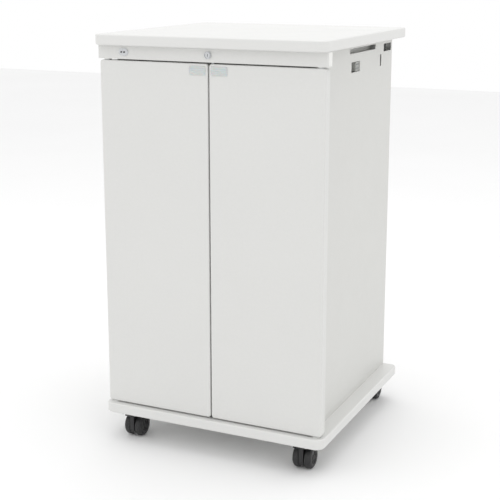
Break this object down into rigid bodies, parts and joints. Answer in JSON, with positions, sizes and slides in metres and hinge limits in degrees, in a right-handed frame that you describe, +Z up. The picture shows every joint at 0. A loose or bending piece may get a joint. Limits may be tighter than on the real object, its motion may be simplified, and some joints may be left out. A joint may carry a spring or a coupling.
{
  "type": "housekeeping cart",
  "caption": "Lockable two-door steel cabinet between two rounded boards, on swivelling twin-wheel castors, with fold-back doors and inner shelves.",
  "frame": {"origin": "on the floor, in the middle of the overall footprint with the castors trailing to the rear", "axes": "+Z up, the doors face -Y, +X is the cart's right-hand side seen from the front"},
  "size_m": [0.52, 0.5142, 0.9],
  "materials": {
    "board": "white laminate, satin",
    "body_steel": "off-white powder coat, fine texture",
    "door_steel": "off-white powder coat, satin",
    "pull_plastic": "frosted light grey",
    "bright_steel": "zinc-plated",
    "chrome": "polished",
    "dark_metal": "black, satin",
    "white_nylon": "white nylon",
    "black_nylon": "black nylon, satin",
    "catch_plastic": "grey, matt",
    "rubber": "grey rubber, matt"
  },
  "bodies": {
    "cabinet": {"back_panel": "body_steel", "base_board": "board", "body_screws": "bright_steel", "bolt_guide": "white_nylon", "cabinet_floor": "body_steel", "castor_plate_front_left": "bright_steel", "castor_plate_front_right": "bright_steel", "castor_plate_rear_left": "bright_steel", "castor_plate_rear_right": "bright_steel", "castor_screws": "bright_steel", "door_bumpers": "rubber", "door_catches": "catch_plastic", "door_holders": "catch_plastic", "front_crossbar": "body_steel", "front_rail": "door_steel", "hook_brackets": "bright_steel", "lock_housing": "chrome", "lock_nut": "bright_steel", "pivot_bushes": "white_nylon", "rail_badge": "chrome", "rail_badge_studs": "dark_metal", "rail_end_caps": "white_nylon", "shelf_clips": "bright_steel", "shelf_lower": "body_steel", "shelf_standards": "bright_steel", "shelf_upper": "body_steel", "side_head_left": "body_steel", "side_head_right": "body_steel", "side_liners": "body_steel", "side_skin_left": "body_steel", "side_skin_right": "body_steel", "top_board": "board"},
    "door_left": {"door_left_back": "door_steel", "door_left_pivots": "bright_steel", "door_left_pull": "pull_plastic", "door_left_skin": "door_steel", "door_left_strike": "bright_steel"},
    "door_right": {"door_right_back": "door_steel", "door_right_pivots": "bright_steel", "door_right_pull": "pull_plastic", "door_right_skin": "door_steel", "door_right_strike": "bright_steel"},
    "lock_plug": {"lock_plug": "chrome"},
    "lock_bolt": {"lock_bolt": "bright_steel"},
    "castor_front_left": {"castor_hood_front_left": "black_nylon", "castor_axle_front_left": "bright_steel"},
    "wheel_front_left_l": {"castor_wheel_front_left_l": "black_nylon"},
    "wheel_front_left_r": {"castor_wheel_front_left_r": "black_nylon"},
    "castor_front_right": {"castor_hood_front_right": "black_nylon", "castor_axle_front_right": "bright_steel"},
    "wheel_front_right_l": {"castor_wheel_front_right_l": "black_nylon"},
    "wheel_front_right_r": {"castor_wheel_front_right_r": "black_nylon"},
    "castor_rear_left": {"castor_hood_rear_left": "black_nylon", "castor_axle_rear_left": "bright_steel"},
    "wheel_rear_left_l": {"castor_wheel_rear_left_l": "black_nylon"},
    "wheel_rear_left_r": {"castor_wheel_rear_left_r": "black_nylon"},
    "castor_rear_right": {"castor_hood_rear_right": "black_nylon", "castor_axle_rear_right": "bright_steel"},
    "wheel_rear_right_l": {"castor_wheel_rear_right_l": "black_nylon"},
    "wheel_rear_right_r": {"castor_wheel_rear_right_r": "black_nylon"}
  },
  "joints": [
    {"name": "door_left_swing", "type": "hinge", "parent": "cabinet", "child": "door_left", "pos_m": [-0.24, -0.22713, 0.467], "axis": [0, 0, 1], "range_deg": [-270, 0]},
    {"name": "door_right_swing", "type": "hinge", "parent": "cabinet", "child": "door_right", "pos_m": [0.24, -0.22713, 0.467], "axis": [0, 0, 1], "range_deg": [0, 270]},
    {"name": "lock_bolt_drop", "type": "slide", "parent": "cabinet", "child": "lock_bolt", "axis": [0, 0, -1], "range_m": [0, 0.0071]},
    {"name": "lock_plug_turn", "type": "hinge", "parent": "cabinet", "child": "lock_plug", "pos_m": [0, -0.23713, 0.8635], "axis": [0, 1, 0], "range_deg": [0, 91]},
    {"name": "swivel_front_left", "type": "hinge", "parent": "cabinet", "child": "castor_front_left", "pos_m": [-0.205, -0.22013, 0.05], "axis": [0, 0, 1], "continuous": true},
    {"name": "swivel_front_right", "type": "hinge", "parent": "cabinet", "child": "castor_front_right", "pos_m": [0.205, -0.22013, 0.05], "axis": [0, 0, 1], "continuous": true},
    {"name": "swivel_rear_left", "type": "hinge", "parent": "cabinet", "child": "castor_rear_left", "pos_m": [-0.205, 0.21087, 0.05], "axis": [0, 0, 1], "continuous": true},
    {"name": "swivel_rear_right", "type": "hinge", "parent": "cabinet", "child": "castor_rear_right", "pos_m": [0.205, 0.21087, 0.05], "axis": [0, 0, 1], "continuous": true},
    {"name": "wheel_roll_front_left_l", "type": "hinge", "parent": "castor_front_left", "child": "wheel_front_left_l", "pos_m": [-0.205, -0.20213, 0.025], "axis": [1, 0, 0], "continuous": true},
    {"name": "wheel_roll_front_left_r", "type": "hinge", "parent": "castor_front_left", "child": "wheel_front_left_r", "pos_m": [-0.205, -0.20213, 0.025], "axis": [1, 0, 0], "continuous": true},
    {"name": "wheel_roll_front_right_l", "type": "hinge", "parent": "castor_front_right", "child": "wheel_front_right_l", "pos_m": [0.205, -0.20213, 0.025], "axis": [1, 0, 0], "continuous": true},
    {"name": "wheel_roll_front_right_r", "type": "hinge", "parent": "castor_front_right", "child": "wheel_front_right_r", "pos_m": [0.205, -0.20213, 0.025], "axis": [1, 0, 0], "continuous": true},
    {"name": "wheel_roll_rear_left_l", "type": "hinge", "parent": "castor_rear_left", "child": "wheel_rear_left_l", "pos_m": [-0.205, 0.22887, 0.025], "axis": [1, 0, 0], "continuous": true},
    {"name": "wheel_roll_rear_left_r", "type": "hinge", "parent": "castor_rear_left", "child": "wheel_rear_left_r", "pos_m": [-0.205, 0.22887, 0.025], "axis": [1, 0, 0], "continuous": true},
    {"name": "wheel_roll_rear_right_l", "type": "hinge", "parent": "castor_rear_right", "child": "wheel_rear_right_l", "pos_m": [0.205, 0.22887, 0.025], "axis": [1, 0, 0], "continuous": true},
    {"name": "wheel_roll_rear_right_r", "type": "hinge", "parent": "castor_rear_right", "child": "wheel_rear_right_r", "pos_m": [0.205, 0.22887, 0.025], "axis": [1, 0, 0], "continuous": true}
  ],
  "couplings": [
    {"joint": "lock_plug_turn", "follows": "lock_bolt_drop", "rad_per_m": 222.1}
  ]
}
